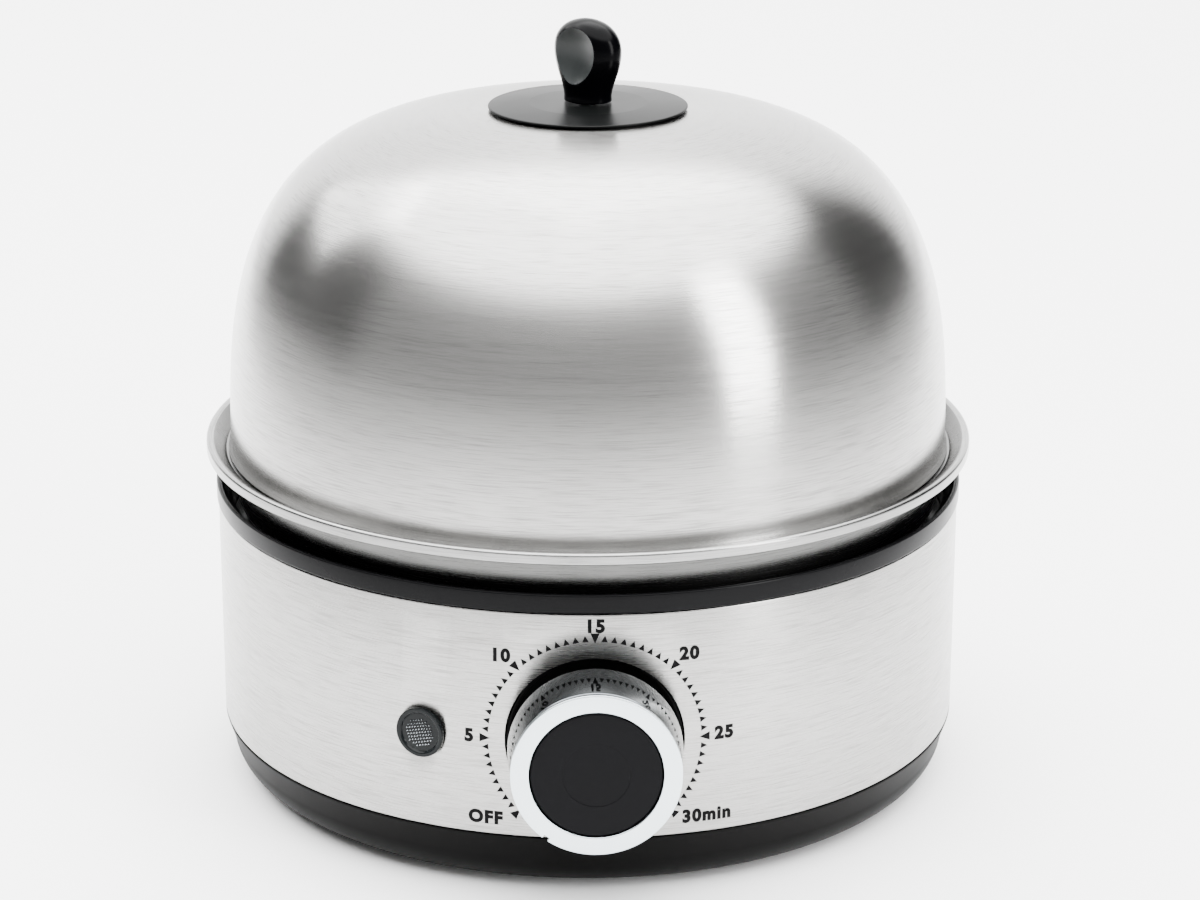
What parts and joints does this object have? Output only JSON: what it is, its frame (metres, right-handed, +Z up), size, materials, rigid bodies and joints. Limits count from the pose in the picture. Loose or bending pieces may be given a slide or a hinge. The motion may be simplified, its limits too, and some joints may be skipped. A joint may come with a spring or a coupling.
{
  "type": "egg cooker",
  "caption": "Round electric egg steamer: steel body with wind-up timer knob and pilot lamp, water pan, lift-out egg rack and a domed steel lid with a finger tab.",
  "frame": {"origin": "on the worktop under the middle of the outer box; the upright axis of the turned parts is 7.75 mm behind it", "axes": "+Z up, the knob faces -Y, +X to the right as seen from the front"},
  "size_m": [0.185, 0.2004, 0.1838],
  "materials": {
    "base_tray": "satin black moulded",
    "rubber": "matte black",
    "band_steel": "fine brushed, lengthwise grain",
    "black_gloss": "glossy black moulded",
    "spun_steel": "pressed, soft polish",
    "dome_steel": "spun, circumferential brushing",
    "silicone": "moulded silicone",
    "aluminium": "cast and turned",
    "zinc_steel": "zinc plated",
    "ceramic": "steatite, unglazed",
    "brass": "stamped brass",
    "cream_plastic": "moulded, heat resistant",
    "clear_plastic": "clear, moulded prisms inside",
    "neon_glass": "clear glass with electrodes",
    "chrome": "mirror plated",
    "satin_chrome": "satin plated"
  },
  "bodies": {
    "base": {"base_tray": "base_tray", "foot_1": "rubber", "foot_2": "rubber", "foot_3": "rubber", "foot_4": "rubber", "base_screw_1": "zinc_steel", "base_screw_2": "zinc_steel", "base_screw_3": "zinc_steel", "steel_band": "band_steel", "top_collar": "black_gloss", "heating_pan": "spun_steel", "pan_gasket": "silicone", "heater_plate": "aluminium", "heater_element": "zinc_steel", "thermostat": "ceramic", "thermal_fuse": "zinc_steel", "pan_bracket": "zinc_steel", "clamp_nut": "zinc_steel", "heat_shield": "aluminium", "knob_well": "base_tray", "timer_front_plate": "zinc_steel", "timer_back_plate": "zinc_steel", "timer_pillar_1": "brass", "timer_pillar_2": "brass", "timer_pillar_3": "brass", "timer_screw_1": "zinc_steel", "timer_screw_2": "zinc_steel", "timer_switch": "cream_plastic", "timer_bell": "spun_steel", "bell_post": "zinc_steel", "hammer_pin": "zinc_steel", "lamp_lens": "clear_plastic", "lamp_holder": "cream_plastic", "lamp_bulb": "neon_glass", "cord_gland": "base_tray", "gland_nut": "zinc_steel", "terminal_block": "cream_plastic"},
    "knob": {"knob_hub": "base_tray", "knob_skirt": "chrome", "knob_face_ring": "satin_chrome", "knob_cap": "black_gloss", "timer_shaft": "zinc_steel", "main_wheel": "brass", "spring_barrel": "zinc_steel", "switch_cam": "cream_plastic"},
    "second_arbor": {"second_wheel": "brass"},
    "escape_arbor": {"escape_wheel": "brass"},
    "balance": {"balance_wheel": "brass"},
    "hammer": {"bell_hammer": "brass"},
    "lid": {"dome_shell": "dome_steel", "lid_disc": "base_tray", "lid_handle": "black_gloss", "handle_screw": "zinc_steel", "handle_washer": "zinc_steel"},
    "rack": {"egg_rack": "spun_steel", "rack_leg_1": "spun_steel", "rack_leg_2": "spun_steel", "rack_leg_3": "spun_steel", "rack_loop_1": "spun_steel", "rack_loop_2": "spun_steel"}
  },
  "joints": [
    {"name": "knob_turn", "type": "hinge", "parent": "base", "child": "knob", "pos_m": [0, -0.06725, 0.0384], "axis": [0, 1, 0], "range_deg": [0, 278]},
    {"name": "second_spin", "type": "hinge", "parent": "base", "child": "second_arbor", "pos_m": [0.01644, -0.06725, 0.03241], "axis": [0, 1, 0], "range_deg": [-1116, 4]},
    {"name": "escape_spin", "type": "hinge", "parent": "base", "child": "escape_arbor", "pos_m": [0.01169, -0.06725, 0.02419], "axis": [0, 1, 0], "range_deg": [-15, 4185]},
    {"name": "balance_swing", "type": "hinge", "parent": "base", "child": "balance", "pos_m": [-0.0152, -0.06725, 0.0304], "axis": [0, 1, 0], "range_deg": [-40, 40]},
    {"name": "hammer_swing", "type": "hinge", "parent": "base", "child": "hammer", "pos_m": [-0.0072, -0.06725, 0.0512], "axis": [0, 1, 0], "range_deg": [-10, 10]},
    {"name": "lid_lift", "type": "slide", "parent": "base", "child": "lid", "axis": [0, 0, 1], "range_m": [0, 0.2]},
    {"name": "rack_lift", "type": "slide", "parent": "base", "child": "rack", "axis": [0, 0, 1], "range_m": [0, 0.1]}
  ],
  "couplings": [
    {"joint": "second_spin", "follows": "knob_turn", "ratio": -4},
    {"joint": "escape_spin", "follows": "knob_turn", "ratio": 15},
    {"joint": "rack_lift", "follows": "lid_lift", "ratio": 0.5}
  ]
}
